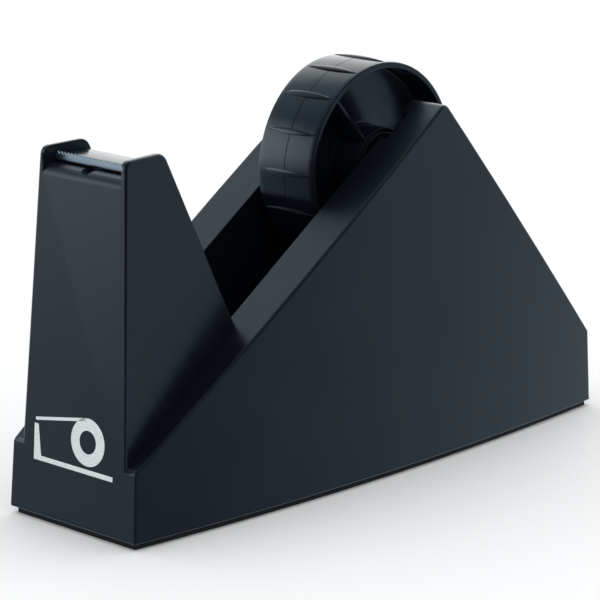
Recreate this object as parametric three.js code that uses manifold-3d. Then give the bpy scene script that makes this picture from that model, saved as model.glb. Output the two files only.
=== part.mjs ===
// Weighted desk tape dispenser for 25 mm wide rolls on 76 mm (3 inch) or 26 mm (1 inch) cores.
// Millimetres, +Z up. The pieces are drawn with x = 0 at the foot of the front face, y = 0 on the
// plane of symmetry and z = 0 on the table; the whole group is then moved back by half its length.
import * as THREE from 'three';
import { mergeVertices } from 'three/addons/utils/BufferGeometryUtils.js';
import Module from 'manifold-3d';

const wasm = await Module();
wasm.setup();

// ---- Driving dimensions -------------------------------------------------------------------------

const GAP = 0.3;                 // clearance kept between separate pieces
const WALL = 2.2;                // wall of the moulded housing
const OVER = 10;                 // how far cutting solids run past the faces they cut
const PAST = 1;                  // how far holes run past the thin walls they pierce
const FULL_ROUND = 0.99;         // corner radius of a rounded end, as a share of its half width
const TOP = 150;                 // above everything

const LENGTH = 241.7;            // housing, foot of the front face to foot of the rear face
const END_WIDTH = 61.8;          // housing width at its front and rear corners
const SIDE_BOW = 6.45;           // how far each side swells outwards at mid-length
const SIDE_DRAFT = 0.036;        // lean of the sides, mm per mm of height
const FRONT_DRAFT = 0.064;       // lean of the front face
const REAR_DRAFT = 0.031;        // lean of the rear face
const RIM_Z = 2.4;               // lower rim of the housing above the table

const APEX_X = 152.4;            // ridge of the wedge
const APEX_Z = 130.3;
const APEX_RADIUS = 3;
const STEP_Z = 26.5;             // where the front slope starts on the front face
const REAR_CORNER_X = 240.9;     // where the rear slope meets the rear face
const REAR_CORNER_Z = 28.9;

const POST_TOP_X = 26.4;         // top rear corner of the post's cheeks
const POST_TOP_Z = 128.6;
const POST_TOP_RISE = 0.026;     // rise of the cheeks' top edge towards the rear, mm per mm
const POST_FOOT_X = 57.5;        // where the post's rear edge meets the front slope
const POST_HALF = 26.7;          // half width of the post, projected to x = 0, z = 0
const POST_NARROW_X = 0.054;     // narrowing of the post towards the rear
const POST_NARROW_Z = 0.042;     // narrowing of the post towards the top
const POST_FRONT_RADIUS = 2.7;   // rounded corners of the cheeks
const POST_REAR_RADIUS = 4.5;
const CHEEK = 2.2;               // thickness of the cheeks beside the cutter

const LIP_RADIUS = 4.2;          // the front panel curves back under the cutter
const LIP_TOP_Z = 122.4;
const LIP_STEPS = 6;
const SEAT_X = 14.2;             // front wall of the pocket that holds the cutter
const SEAT_Z = 117.6;            // floor of that pocket
const NOTCH_RADIUS = 2.8;        // half-round notch in the lip
const NOTCH_Z = 123.6;
const NOTCH_PAST = 0.5;

const HUB_X = 140.7;             // hub axis
const HUB_Z = 106.4;
const WELL_HALF = 16.95;         // half width of the tape well
const WELL_RADIUS = 61;          // clears a full roll, 115 mm across
const WELL_CORNER = 6;
const WELL_ARC = 66;             // degrees of that radius, from the lowest line to the rear slope
const WELL_ARC_STEPS = 10;
const POST_RECESS = 3;           // the well's front wall lies this far inside the cheeks' rear edges
const RECESS_TOP = 113;          // and ends here, under the cutter's pocket
const SLOT_HALF = 5.6;           // guide slots for the axle blocks in the well's side walls
const SLOT_DEPTH = 2.8;

const PAD_TOP = 2.1;             // anti-slip pad on the table
const PAD_INSET = 2;
const PAD_HOLE = 3.3;
const BASE_THICK = 2.2;

const SCREW_INSET = 20;          // base screws from the housing's front and rear
const SCREW_Y = 26.2;
const SCREW_SHANK = 1.4;
const SCREW_HEAD = 2.8;
const SCREW_CROWN = 2;           // radius of the flat on top of the head
const SCREW_HEAD_TALL = 1.5;
const SCREW_HEAD_EDGE = 0.75;
const SCREW_LENGTH = 10;
const BOSS_RADIUS = 3.8;

const FLOOR_WEIGHT = { x: [72, 196], half: 15.5, tall: 12 };
const SIDE_WEIGHT_X = [62, 206]; // upright ballast plates in the hollow sides
const SIDE_WEIGHT_Y = [23.2, 28.2];
const SIDE_WEIGHT_CLEAR = 14;    // below the slopes

const BLADE_X = 12.8;            // serrated steel angle: teeth upright in front, foot in the carrier
const BLADE_THICK = 0.5;
const BLADE_HALF = 18.15;
const BLADE_FOOT_X = 20;
const BLADE_TIP_Z = 126.1;
const TOOTH_COUNT = 22;
const TOOTH_HEIGHT = 1;
const CARRIER_REAR_X = 26.2;     // the tape's end rests on the carrier's top
const CARRIER_TOP_X = 15;
const CARRIER_TOP_Z = 125.2;
const CARRIER_RADIUS = 1;        // its rounded rear edge
const CARRIER_FRONT_RADIUS = 0.3;
const CARRIER_SCREW_X = 21.6;
const CARRIER_SCREW_Y = 11;
const CARRIER_SCREW_LENGTH = 6.8;

const CORE_RADIUS = 37.5;        // ring that carries a 76 mm core
const CORE_HALF = 12.83;
const CORE_WALL = 2.1;
const CORE_CROWN = 0.35;         // the ring's rims are this much smaller in radius than its middle
const RIB_COUNT = 16;            // spindle-shaped grip ribs round the ring
const RIB_PHASE = 88;            // angle of the first rib, degrees from +x towards +z
const RIB_HALF_LENGTH = 11.8;
const RIB_WIDTH = 1.9;
const RIB_HEIGHT = 0.7;
const RIB_CREST = 0.5;           // width of a rib's crest as a share of the width of its foot
const WEB_HALF = 0.9;
const SPOKE_COUNT = 3;           // stiffening walls on both sides of the ring's web
const SPOKE_PHASE = 132;
const SPOKE_THICK = 1.2;
const BARREL_RADIUS = 12.2;      // small hub that carries a 26 mm core
const BARREL_WALL = 1.6;
const SLEEVE_WALL = 1.3;         // inner sleeve of the ring, round the small hub
const BUSH_RADIUS = 5.2;
const AXLE_RADIUS = 3;
const AXLE_CLEAR = 0.06;         // running clearance of the hub on its axle
const AXLE_END_Y = 18.5;
const WASHER_Y = [13.1, 14.1];
const WASHER_RADIUS = 6.5;
const BLOCK_Y = [14.4, 19.4];
const BLOCK_HOLE_Y = 18.8;
const BLOCK_HEAD = 2;            // the block's square top stands this much above its half width
const BLOCK_CORNER = 1;
const AXLE_CHAMFER = 0.5;

const SIDE_STEPS = 12;           // facets along each bowed side
const ROUND = 64;                // segments of the ring
const SMALL_ROUND = 32;          // segments of the smaller turned pieces

// ---- Materials ----------------------------------------------------------------------------------

function material(color, roughness, metalness) {
  return new THREE.MeshStandardMaterial({ color, roughness, metalness });
}

const shellPlastic = material(0x20272e, 0.38, 0);
const hubPlastic = material(0x1a2026, 0.3, 0);
const padRubber = material(0x17191b, 0.9, 0);
const brightSteel = material(0xc4ccd0, 0.25, 1);
const zincSteel = material(0xa9adb0, 0.4, 1);
const castIron = material(0x55585a, 0.8, 0.6);
const washerFibre = material(0x24282b, 0.9, 0);

// ---- Geometry helpers ---------------------------------------------------------------------------

// Turns a closed three.js geometry into a manifold-3d solid.
function toSolid(geometry) {
  const bare = geometry.clone();
  bare.deleteAttribute('normal');
  bare.deleteAttribute('uv');
  const merged = mergeVertices(bare, 1e-4);
  const vertProperties = new Float32Array(merged.attributes.position.array);
  const triVerts = new Uint32Array(merged.index.array);
  return new wasm.Manifold(new wasm.Mesh({ numProp: 3, vertProperties, triVerts }));
}

// Turns a manifold-3d solid back into a three.js geometry.
function toGeometry(solid) {
  const mesh = solid.getMesh();
  const geometry = new THREE.BufferGeometry();
  geometry.setAttribute('position', new THREE.BufferAttribute(new Float32Array(mesh.vertProperties), 3));
  geometry.setIndex(new THREE.BufferAttribute(new Uint32Array(mesh.triVerts), 1));
  geometry.computeVertexNormals();
  return geometry;
}

// Turns a list of corners [a, b, radius] into an outline whose rounded corners are true arcs.
function outline(corners, steps = 4) {
  const points = [];
  corners.forEach(([a, b, radius = 0], index) => {
    const here = new THREE.Vector2(a, b);
    if (radius === 0) {
      points.push(here);
      return;
    }
    const before = corners[(index + corners.length - 1) % corners.length];
    const after = corners[(index + 1) % corners.length];
    const back = new THREE.Vector2(before[0], before[1]).sub(here).normalize();
    const ahead = new THREE.Vector2(after[0], after[1]).sub(here).normalize();
    const half = Math.acos(back.dot(ahead)) / 2;
    const centre = back.clone().add(ahead).normalize().multiplyScalar(radius / Math.sin(half)).add(here);
    const tangent = radius / Math.tan(half);
    const start = back.multiplyScalar(tangent).add(here).sub(centre).angle();
    const end = ahead.multiplyScalar(tangent).add(here).sub(centre).angle();
    const turn = Math.atan2(Math.sin(end - start), Math.cos(end - start));
    for (let i = 0; i <= steps; i += 1) {
      const angle = start + turn * i / steps;
      points.push(new THREE.Vector2(Math.cos(angle), Math.sin(angle)).multiplyScalar(radius).add(centre));
    }
  });
  return points;
}

// Extrudes an outline drawn in x and z across y.
function sidePrism(corners, yLow, yHigh) {
  const shape = new THREE.Shape(outline(corners));
  const geometry = new THREE.ExtrudeGeometry(shape, { depth: yHigh - yLow, bevelEnabled: false });
  geometry.rotateX(Math.PI / 2);
  geometry.translate(0, yHigh, 0);
  return geometry;
}

// The same, but its two ends are the sloping planes y = +-halfWidth(x, z).
function taperedPrism(corners, halfWidth) {
  const geometry = sidePrism(corners, -1, 1);
  const position = geometry.attributes.position;
  for (let i = 0; i < position.count; i += 1) {
    position.setY(i, position.getY(i) * halfWidth(position.getX(i), position.getZ(i)));
  }
  return geometry;
}

// Extrudes an outline drawn in x and y upwards.
function planPrism(corners, zLow, zHigh) {
  const shape = new THREE.Shape(outline(corners));
  const geometry = new THREE.ExtrudeGeometry(shape, { depth: zHigh - zLow, bevelEnabled: false });
  geometry.translate(0, 0, zLow);
  return geometry;
}

// A round bar along z.
function upright(radius, zLow, zHigh, x, y) {
  const geometry = new THREE.CylinderGeometry(radius, radius, zHigh - zLow, SMALL_ROUND);
  geometry.rotateX(Math.PI / 2);
  geometry.translate(x, y, (zLow + zHigh) / 2);
  return geometry;
}

// A solid of revolution about the y axis, from a closed profile of [radius, y] points.
function turned(profile, segments) {
  const points = profile.map(([radius, y]) => new THREE.Vector2(radius, y));
  return new THREE.LatheGeometry([...points, points[0].clone()], segments);
}

// A closed solid between two outlines with the same number of points, one above the other.
function loft(low, high) {
  const count = low.length;
  const index = [];
  THREE.ShapeUtils.triangulateShape(low.map(([x, y]) => new THREE.Vector2(x, y)), []).forEach(([a, b, c]) => {
    index.push(a, c, b);
    index.push(count + a, count + b, count + c);
  });
  low.forEach((point, i) => {
    const j = (i + 1) % count;
    index.push(i, j, count + j);
    index.push(i, count + j, count + i);
  });
  const geometry = new THREE.BufferGeometry();
  geometry.setAttribute('position', new THREE.Float32BufferAttribute([...low, ...high].flat(), 3));
  geometry.setIndex(index);
  return geometry;
}

// ---- The housing's faces ------------------------------------------------------------------------

const frontX = (z, inset = 0) => FRONT_DRAFT * (z - RIM_Z) + inset;
const rearX = (z, inset = 0) => LENGTH - REAR_DRAFT * (z - RIM_Z) - inset;
const frontSlope = (APEX_Z - STEP_Z) / (APEX_X - frontX(STEP_Z));
const rearSlope = (REAR_CORNER_Z - APEX_Z) / (REAR_CORNER_X - APEX_X);
const frontRoofZ = (x, inset = 0) => APEX_Z + frontSlope * (x - APEX_X) - inset * Math.hypot(1, frontSlope);
const rearRoofZ = (x, inset = 0) => APEX_Z + rearSlope * (x - APEX_X) - inset * Math.hypot(1, rearSlope);
const postLean = (POST_TOP_X - POST_FOOT_X) / (POST_TOP_Z - frontRoofZ(POST_FOOT_X));
const postSlant = Math.hypot(1, postLean);
const postRearX = (z, inset = 0) => POST_TOP_X + postLean * (z - POST_TOP_Z) - inset * postSlant;
const postHalf = (inset) => (x, z) => POST_HALF - POST_NARROW_X * x - POST_NARROW_Z * z - inset;
const cheekTopZ = (x) => POST_TOP_Z + POST_TOP_RISE * (x - POST_TOP_X);

// Half width of the bowed and drafted sides.
function sideHalf(x, z, inset = 0) {
  const along = x / LENGTH;
  return END_WIDTH / 2 + 4 * SIDE_BOW * along * (1 - along) - SIDE_DRAFT * (z - RIM_Z) - inset;
}

// The bowed outline at one height, between two x positions.
function bowedOutline(z, inset, xLow, xHigh) {
  const near = [];
  for (let i = 0; i <= SIDE_STEPS; i += 1) {
    const x = xLow + (xHigh - xLow) * i / SIDE_STEPS;
    near.push([x, -sideHalf(x, z, inset), z]);
  }
  const far = near.map(([x, y]) => [x, -y, z]).reverse();
  return [...near, ...far];
}

// The wedge under its two slopes, between its bowed sides.
function wedge(inset) {
  const slantDifference = Math.hypot(1, frontSlope) - Math.hypot(1, rearSlope);
  const ridgeX = APEX_X + inset * slantDifference / (frontSlope - rearSlope);
  const roof = sidePrism([
    [-OVER, -OVER],
    [LENGTH + OVER, -OVER],
    [LENGTH + OVER, rearRoofZ(LENGTH + OVER, inset)],
    [ridgeX, frontRoofZ(ridgeX, inset), APEX_RADIUS],
    [-OVER, frontRoofZ(-OVER, inset)],
  ], -LENGTH, LENGTH);
  const sides = loft(
    bowedOutline(-OVER, inset, -OVER, LENGTH + OVER),
    bowedOutline(TOP, inset, -OVER, LENGTH + OVER),
  );
  return toSolid(roof).intersect(toSolid(sides));
}

// Everything between the front and rear faces, with the cheeks' top edge and its front corner.
function frontToRear(inset, low) {
  const pastPost = POST_TOP_X + OVER;
  return toSolid(sidePrism([
    [frontX(low, inset), low],
    [rearX(low, inset), low],
    [rearX(TOP, inset), TOP],
    [pastPost, TOP],
    [pastPost, cheekTopZ(pastPost)],
    [frontX(POST_TOP_Z, inset), cheekTopZ(frontX(POST_TOP_Z)), POST_FRONT_RADIUS],
  ], -LENGTH, LENGTH));
}

// The tapered post, up to a flat or sloping top.
function post(inset, topAt, topRadius) {
  const rearTop = topAt(POST_TOP_X);
  return toSolid(taperedPrism([
    [-OVER, -OVER],
    [postRearX(-OVER, inset), -OVER],
    [postRearX(rearTop, inset), rearTop, topRadius],
    [-OVER, topAt(-OVER)],
  ], postHalf(inset)));
}

// The tape well: its front wall leans with the post, its floor curves up behind the hub. With a
// positive growth it is the well together with a wall of that thickness round it.
function well(growth) {
  const radius = WELL_RADIUS + growth;
  const floorZ = HUB_Z - radius;
  const wallX = (z) => postRearX(z, POST_RECESS + growth);
  const ceiling = RECESS_TOP + growth;
  const corners = [
    [wallX(ceiling), ceiling],
    [wallX(floorZ), floorZ, WELL_CORNER + growth],
  ];
  const arcEnd = THREE.MathUtils.degToRad(WELL_ARC);
  for (let i = 0; i <= WELL_ARC_STEPS; i += 1) {
    const angle = arcEnd * i / WELL_ARC_STEPS;
    corners.push([HUB_X + radius * Math.sin(angle), HUB_Z - radius * Math.cos(angle)]);
  }
  const exitZ = HUB_Z - radius * Math.cos(arcEnd);
  corners.push([LENGTH, exitZ], [LENGTH, TOP], [POST_FOOT_X, TOP], [POST_FOOT_X, ceiling]);
  return toSolid(sidePrism(corners, -WELL_HALF - growth, WELL_HALF + growth));
}

// Guide slot of the axle on one side, open at the top. Side is -1 or 1.
function axleSlot(side, growth) {
  const half = SLOT_HALF + growth;
  const ends = [0, side * (WELL_HALF + SLOT_DEPTH + growth)].sort((a, b) => a - b);
  return toSolid(sidePrism([
    [HUB_X - half, HUB_Z - half, half * FULL_ROUND],
    [HUB_X + half, HUB_Z - half, half * FULL_ROUND],
    [HUB_X + half, TOP],
    [HUB_X - half, TOP],
  ], ...ends));
}

// Pocket between the cheeks for the cutter, with the lip that curves back below it.
function cutterPocket() {
  const curveZ = LIP_TOP_Z - LIP_RADIUS;
  const curveX = frontX(curveZ) + LIP_RADIUS;
  const curve = [];
  for (let i = 0; i <= LIP_STEPS; i += 1) {
    const angle = Math.PI * (1 - i / LIP_STEPS / 2);
    curve.push([curveX + LIP_RADIUS * Math.cos(angle), curveZ + LIP_RADIUS * Math.sin(angle)]);
  }
  return toSolid(taperedPrism([
    [-OVER, curveZ],
    ...curve,
    [SEAT_X, LIP_TOP_Z],
    [SEAT_X, SEAT_Z],
    [2 * POST_FOOT_X, SEAT_Z],
    [2 * POST_FOOT_X, TOP],
    [-OVER, TOP],
  ], postHalf(CHEEK)));
}

// ---- Housing ------------------------------------------------------------------------------------

const screwSpots = [];
[SCREW_INSET, LENGTH - SCREW_INSET].forEach((x) => {
  [-SCREW_Y, SCREW_Y].forEach((y) => screwSpots.push([x, y]));
});
const carrierScrewSpots = [[CARRIER_SCREW_X, -CARRIER_SCREW_Y], [CARRIER_SCREW_X, CARRIER_SCREW_Y]];
const baseTop = RIM_Z + BASE_THICK;
const deckUnderside = SEAT_Z - WALL;

function makeHousing() {
  const outer = wedge(0).add(post(0, cheekTopZ, POST_REAR_RADIUS)).intersect(frontToRear(0, RIM_Z));
  let hollow = wedge(WALL).add(post(WALL, () => deckUnderside, 0)).intersect(frontToRear(WALL, -OVER));
  hollow = hollow.subtract(well(WALL));
  [-1, 1].forEach((side) => {
    hollow = hollow.subtract(axleSlot(side, WALL));
  });
  screwSpots.forEach(([x, y]) => {
    hollow = hollow.subtract(toSolid(upright(BOSS_RADIUS, baseTop + GAP, TOP, x, y)));
  });
  let housing = outer.subtract(hollow).subtract(well(0)).subtract(cutterPocket());
  [-1, 1].forEach((side) => {
    housing = housing.subtract(axleSlot(side, 0));
  });
  screwSpots.forEach(([x, y]) => {
    const pilot = upright(SCREW_SHANK + GAP, 0, PAD_TOP + SCREW_LENGTH + PAST, x, y);
    housing = housing.subtract(toSolid(pilot));
  });
  carrierScrewSpots.forEach(([x, y]) => {
    const hole = upright(SCREW_SHANK + GAP, deckUnderside - PAST, SEAT_Z + PAST, x, y);
    housing = housing.subtract(toSolid(hole));
  });
  const notch = new THREE.CylinderGeometry(NOTCH_RADIUS, NOTCH_RADIUS, SEAT_X + OVER, SMALL_ROUND);
  notch.rotateZ(Math.PI / 2);
  notch.translate((SEAT_X - OVER) / 2 + NOTCH_PAST, 0, NOTCH_Z);
  return toGeometry(housing.subtract(toSolid(notch)));
}

// ---- Underside ----------------------------------------------------------------------------------

// A flat plate that follows the housing's bowed outline at a given inset.
function bowedPlate(inset, zLow, zHigh, holeRadius) {
  const points = bowedOutline(zHigh, inset, frontX(zHigh, inset), rearX(zHigh, inset));
  let plate = toSolid(planPrism(points.map(([x, y]) => [x, y]), zLow, zHigh));
  screwSpots.forEach(([x, y]) => {
    plate = plate.subtract(toSolid(upright(holeRadius, zLow - PAST, zHigh + PAST, x, y)));
  });
  return toGeometry(plate);
}

// A pan-head screw pointing up, its head's underside at z = 0.
function screw(length) {
  return turned([
    [0, -SCREW_HEAD_TALL],
    [SCREW_CROWN, -SCREW_HEAD_TALL],
    [SCREW_HEAD, -SCREW_HEAD_EDGE],
    [SCREW_HEAD, 0],
    [SCREW_SHANK, 0],
    [SCREW_SHANK, length - SCREW_SHANK],
    [0, length],
  ], SMALL_ROUND).rotateX(Math.PI / 2);
}

// Flat ballast that stands in a hollow side, cut to the wedge's profile.
function sideWeight(side) {
  const [low, high] = SIDE_WEIGHT_Y;
  const ends = [side * low, side * high].sort((a, b) => a - b);
  const [front, rear] = SIDE_WEIGHT_X;
  const slotFront = HUB_X - SLOT_HALF - 2 * WALL;
  return sidePrism([
    [front, baseTop + GAP],
    [rear, baseTop + GAP],
    [rear, rearRoofZ(rear, SIDE_WEIGHT_CLEAR)],
    [APEX_X, frontRoofZ(slotFront, SIDE_WEIGHT_CLEAR)],
    [slotFront, frontRoofZ(slotFront, SIDE_WEIGHT_CLEAR)],
    [front, frontRoofZ(front, SIDE_WEIGHT_CLEAR)],
  ], ...ends);
}

// ---- Cutter -------------------------------------------------------------------------------------

const bladeFootZ = LIP_TOP_Z + GAP;

// Moulded block with a slot in its front for the blade's foot.
function makeCarrier() {
  let carrier = toSolid(taperedPrism([
    [SEAT_X + GAP, SEAT_Z + GAP],
    [CARRIER_REAR_X, SEAT_Z + GAP],
    [CARRIER_REAR_X, CARRIER_TOP_Z, CARRIER_RADIUS],
    [CARRIER_TOP_X, CARRIER_TOP_Z, CARRIER_FRONT_RADIUS],
    [CARRIER_TOP_X, bladeFootZ + BLADE_THICK + GAP],
    [BLADE_FOOT_X + GAP, bladeFootZ + BLADE_THICK + GAP],
    [BLADE_FOOT_X + GAP, bladeFootZ - GAP],
    [SEAT_X + GAP, bladeFootZ - GAP],
  ], postHalf(CHEEK + GAP)));
  carrierScrewSpots.forEach(([x, y]) => {
    const hole = upright(SCREW_SHANK + GAP, SEAT_Z, deckUnderside + CARRIER_SCREW_LENGTH, x, y);
    carrier = carrier.subtract(toSolid(hole));
  });
  return toGeometry(carrier);
}

// Serrated strip, drawn in y and z and extruded through its thickness, with its foot.
function makeBlade() {
  const pitch = 2 * BLADE_HALF / TOOTH_COUNT;
  const shape = new THREE.Shape();
  shape.moveTo(-BLADE_HALF, bladeFootZ);
  shape.lineTo(BLADE_HALF, bladeFootZ);
  for (let i = 0; i < TOOTH_COUNT; i += 1) {
    shape.lineTo(BLADE_HALF - pitch * i, BLADE_TIP_Z - TOOTH_HEIGHT);
    shape.lineTo(BLADE_HALF - pitch * (i + 0.5), BLADE_TIP_Z);
  }
  shape.lineTo(-BLADE_HALF, BLADE_TIP_Z - TOOTH_HEIGHT);
  shape.closePath();
  const strip = new THREE.ExtrudeGeometry(shape, { depth: BLADE_THICK, bevelEnabled: false });
  strip.rotateX(Math.PI / 2);
  strip.rotateZ(Math.PI / 2);
  strip.translate(BLADE_X, 0, 0);
  const foot = sidePrism([
    [BLADE_X, bladeFootZ],
    [BLADE_FOOT_X, bladeFootZ],
    [BLADE_FOOT_X, bladeFootZ + BLADE_THICK],
    [BLADE_X, bladeFootZ + BLADE_THICK],
  ], -BLADE_HALF, BLADE_HALF);
  return toGeometry(toSolid(strip).add(toSolid(foot)));
}

// ---- Hub, drawn about the y axis and moved to the hub axis --------------------------------------

const sleeveInner = BARREL_RADIUS + GAP;
const sleeveOuter = sleeveInner + SLEEVE_WALL;

// One spindle-shaped rib: pointed at both ends, tallest and widest at the middle of the ring.
function gripRib() {
  const foot = CORE_RADIUS - CORE_WALL / 2;
  const low = [[0, -RIB_HALF_LENGTH], [RIB_WIDTH / 2, 0], [0, RIB_HALF_LENGTH], [-RIB_WIDTH / 2, 0]];
  const base = low.map(([x, y]) => [x, y, foot]);
  const crest = low.map(([x, y]) => [x * RIB_CREST, y, CORE_RADIUS + (x === 0 ? -CORE_CROWN : RIB_HEIGHT)]);
  return loft(base, crest);
}

function makeCoreRing() {
  const rim = CORE_RADIUS - CORE_CROWN;
  let ring = toSolid(turned([
    [rim - CORE_WALL, -CORE_HALF],
    [rim, -CORE_HALF],
    [CORE_RADIUS, 0],
    [rim, CORE_HALF],
    [rim - CORE_WALL, CORE_HALF],
    [CORE_RADIUS - CORE_WALL, WEB_HALF],
    [sleeveOuter, WEB_HALF],
    [sleeveOuter, CORE_HALF],
    [sleeveInner, CORE_HALF],
    [sleeveInner, -CORE_HALF],
    [sleeveOuter, -CORE_HALF],
    [sleeveOuter, -WEB_HALF],
    [CORE_RADIUS - CORE_WALL, -WEB_HALF],
  ], ROUND));
  for (let i = 0; i < SPOKE_COUNT; i += 1) {
    const spoke = new THREE.BoxGeometry(rim - sleeveInner - SLEEVE_WALL, 2 * CORE_HALF, SPOKE_THICK);
    spoke.translate((rim - CORE_WALL / 2 + sleeveInner + SLEEVE_WALL / 2) / 2, 0, 0);
    spoke.rotateY(-THREE.MathUtils.degToRad(SPOKE_PHASE + 360 * i / SPOKE_COUNT));
    ring = ring.add(toSolid(spoke));
  }
  for (let i = 0; i < RIB_COUNT; i += 1) {
    const rib = gripRib();
    rib.rotateY(THREE.MathUtils.degToRad(90 - RIB_PHASE - 360 * i / RIB_COUNT));
    ring = ring.add(toSolid(rib));
  }
  return toGeometry(ring);
}

function makeSmallHub() {
  const bore = AXLE_RADIUS + AXLE_CLEAR;
  const inner = BARREL_RADIUS - BARREL_WALL;
  return turned([
    [bore, -CORE_HALF],
    [BUSH_RADIUS, -CORE_HALF],
    [BUSH_RADIUS, -WEB_HALF],
    [inner, -WEB_HALF],
    [inner, -CORE_HALF],
    [BARREL_RADIUS, -CORE_HALF],
    [BARREL_RADIUS, CORE_HALF],
    [inner, CORE_HALF],
    [inner, WEB_HALF],
    [BUSH_RADIUS, WEB_HALF],
    [BUSH_RADIUS, CORE_HALF],
    [bore, CORE_HALF],
  ], SMALL_ROUND);
}

function makeAxle() {
  return turned([
    [0, -AXLE_END_Y],
    [AXLE_RADIUS - AXLE_CHAMFER, -AXLE_END_Y],
    [AXLE_RADIUS, -AXLE_END_Y + AXLE_CHAMFER],
    [AXLE_RADIUS, AXLE_END_Y - AXLE_CHAMFER],
    [AXLE_RADIUS - AXLE_CHAMFER, AXLE_END_Y],
    [0, AXLE_END_Y],
  ], SMALL_ROUND);
}

function makeWasher(side) {
  const [low, high] = WASHER_Y.map((y) => y * side).sort((a, b) => a - b);
  const bore = AXLE_RADIUS + GAP;
  return turned([[bore, low], [WASHER_RADIUS, low], [WASHER_RADIUS, high], [bore, high]], SMALL_ROUND);
}

// Block on the axle's end that slides in the guide slot and keeps the axle from turning.
function makeAxleBlock(side) {
  const half = SLOT_HALF - GAP;
  const [low, high] = BLOCK_Y.map((y) => y * side).sort((a, b) => a - b);
  const block = toSolid(sidePrism([
    [-half, -half, half * FULL_ROUND],
    [half, -half, half * FULL_ROUND],
    [half, half + BLOCK_HEAD, BLOCK_CORNER],
    [-half, half + BLOCK_HEAD, BLOCK_CORNER],
  ], low, high));
  const bore = AXLE_RADIUS + GAP;
  const hole = [[0, -BLOCK_HOLE_Y], [bore, -BLOCK_HOLE_Y], [bore, BLOCK_HOLE_Y], [0, BLOCK_HOLE_Y]];
  return toGeometry(block.subtract(toSolid(turned(hole, SMALL_ROUND))));
}

// ---- Assembly -----------------------------------------------------------------------------------

const dispenser = new THREE.Group();
dispenser.position.x = -LENGTH / 2;

function place(parent, name, geometry, look, x = 0, y = 0, z = 0) {
  const mesh = new THREE.Mesh(geometry, look.clone());
  mesh.name = name;
  mesh.position.set(x, y, z);
  parent.add(mesh);
}

place(dispenser, 'housing', makeHousing(), shellPlastic);
place(dispenser, 'base_plate', bowedPlate(WALL + GAP, RIM_Z, baseTop, SCREW_SHANK + GAP), shellPlastic);
place(dispenser, 'antislip_pad', bowedPlate(PAD_INSET, 0, PAD_TOP, PAD_HOLE), padRubber);
screwSpots.forEach(([x, y], index) => {
  place(dispenser, `base_screw_${index + 1}`, screw(SCREW_LENGTH), zincSteel, x, y, PAD_TOP);
});

const floorWeight = new THREE.BoxGeometry(
  FLOOR_WEIGHT.x[1] - FLOOR_WEIGHT.x[0],
  2 * FLOOR_WEIGHT.half,
  FLOOR_WEIGHT.tall,
);
const floorWeightX = (FLOOR_WEIGHT.x[0] + FLOOR_WEIGHT.x[1]) / 2;
const floorWeightZ = baseTop + GAP + FLOOR_WEIGHT.tall / 2;
place(dispenser, 'floor_weight', floorWeight, castIron, floorWeightX, 0, floorWeightZ);
place(dispenser, 'side_weight_right', sideWeight(-1), castIron);
place(dispenser, 'side_weight_left', sideWeight(1), castIron);

place(dispenser, 'cutter_carrier', makeCarrier(), shellPlastic);
place(dispenser, 'cutter_blade', makeBlade(), brightSteel);
carrierScrewSpots.forEach(([x, y], index) => {
  const name = `carrier_screw_${index + 1}`;
  place(dispenser, name, screw(CARRIER_SCREW_LENGTH - 2 * GAP), zincSteel, x, y, deckUnderside - GAP);
});

const hub = new THREE.Group();
hub.position.set(HUB_X, 0, HUB_Z);
dispenser.add(hub);
place(hub, 'core_ring', makeCoreRing(), hubPlastic);
place(hub, 'small_hub', makeSmallHub(), hubPlastic);
place(hub, 'hub_axle', makeAxle(), zincSteel);
place(hub, 'drag_washer_right', makeWasher(-1), washerFibre);
place(hub, 'drag_washer_left', makeWasher(1), washerFibre);
place(hub, 'axle_block_right', makeAxleBlock(-1), hubPlastic);
place(hub, 'axle_block_left', makeAxleBlock(1), hubPlastic);

export default dispenser;
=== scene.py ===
"""Looks of the weighted desk tape dispenser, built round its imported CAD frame."""
import math

import bmesh
import bpy
from mathutils import Matrix, Vector
from mathutils.bvhtree import BVHTree


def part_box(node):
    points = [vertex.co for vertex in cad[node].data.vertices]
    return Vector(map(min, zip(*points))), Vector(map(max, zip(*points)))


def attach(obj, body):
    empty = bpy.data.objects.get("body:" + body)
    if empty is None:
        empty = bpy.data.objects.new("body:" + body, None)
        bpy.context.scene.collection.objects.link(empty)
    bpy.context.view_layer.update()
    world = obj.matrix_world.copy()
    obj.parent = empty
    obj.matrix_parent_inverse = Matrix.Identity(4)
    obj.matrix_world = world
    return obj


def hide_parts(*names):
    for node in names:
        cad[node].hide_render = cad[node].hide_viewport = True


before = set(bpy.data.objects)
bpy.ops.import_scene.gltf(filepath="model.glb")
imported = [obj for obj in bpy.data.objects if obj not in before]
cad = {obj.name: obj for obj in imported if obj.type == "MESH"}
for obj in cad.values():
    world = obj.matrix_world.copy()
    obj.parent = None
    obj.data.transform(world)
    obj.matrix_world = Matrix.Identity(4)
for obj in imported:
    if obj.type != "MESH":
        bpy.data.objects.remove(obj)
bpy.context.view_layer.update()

MM = 0.001


# ---- Studio --------------------------------------------------------------------------------------
# White paper floor that runs out of view, a bright wall behind the dispenser and a dark room on the
# camera's side, so that black plastic is drawn by what it mirrors. A long lens looks down a little.

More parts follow.
